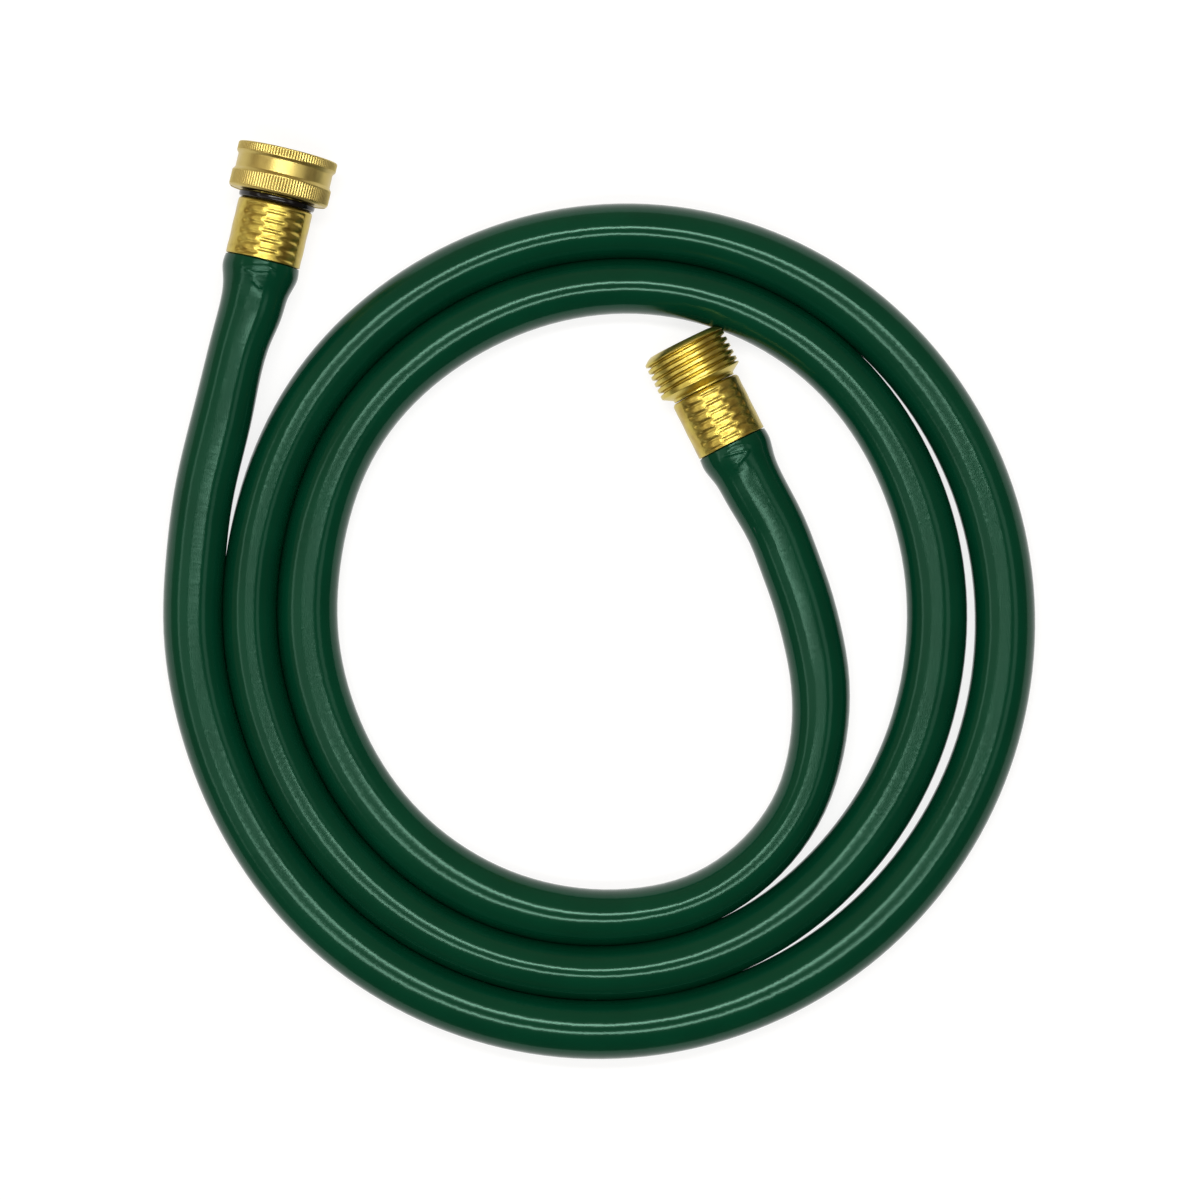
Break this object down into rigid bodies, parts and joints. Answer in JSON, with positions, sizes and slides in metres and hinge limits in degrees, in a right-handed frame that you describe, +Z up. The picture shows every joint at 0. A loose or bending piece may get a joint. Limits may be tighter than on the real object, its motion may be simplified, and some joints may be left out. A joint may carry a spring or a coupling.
{
  "type": "garden leader hose",
  "caption": "Short green garden hose lying in a loose flat coil, with a brass swivel nut at one end and a brass male thread at the other.",
  "frame": {"origin": "under the middle of the whole part's box, on the floor that the coil lies on", "axes": "+Z up, away from the floor; +Y towards the end with the swivel nut; +X to the right as the coil is seen from above"},
  "size_m": [0.2741, 0.2885, 0.032],
  "materials": {
    "green_vinyl": "semi-gloss dark green flexible vinyl",
    "satin_brass": "turned satin brass, knurled bands",
    "polished_brass": "bright polished yellow brass",
    "black_rubber": "black moulded rubber"
  },
  "bodies": {
    "hose_line": {"hose": "green_vinyl", "female_stem": "polished_brass", "seal_ring": "black_rubber", "female_ferrule": "polished_brass", "male_ferrule": "polished_brass", "male_fitting": "polished_brass"},
    "nut": {"swivel_nut": "satin_brass", "hose_washer": "black_rubber"}
  },
  "joints": [
    {"name": "nut_swivel", "type": "hinge", "parent": "hose_line", "child": "nut", "pos_m": [-0.09947, 0.13309, 0.016], "axis": [0.2317, 0.9726, -0.0174], "continuous": true}
  ]
}
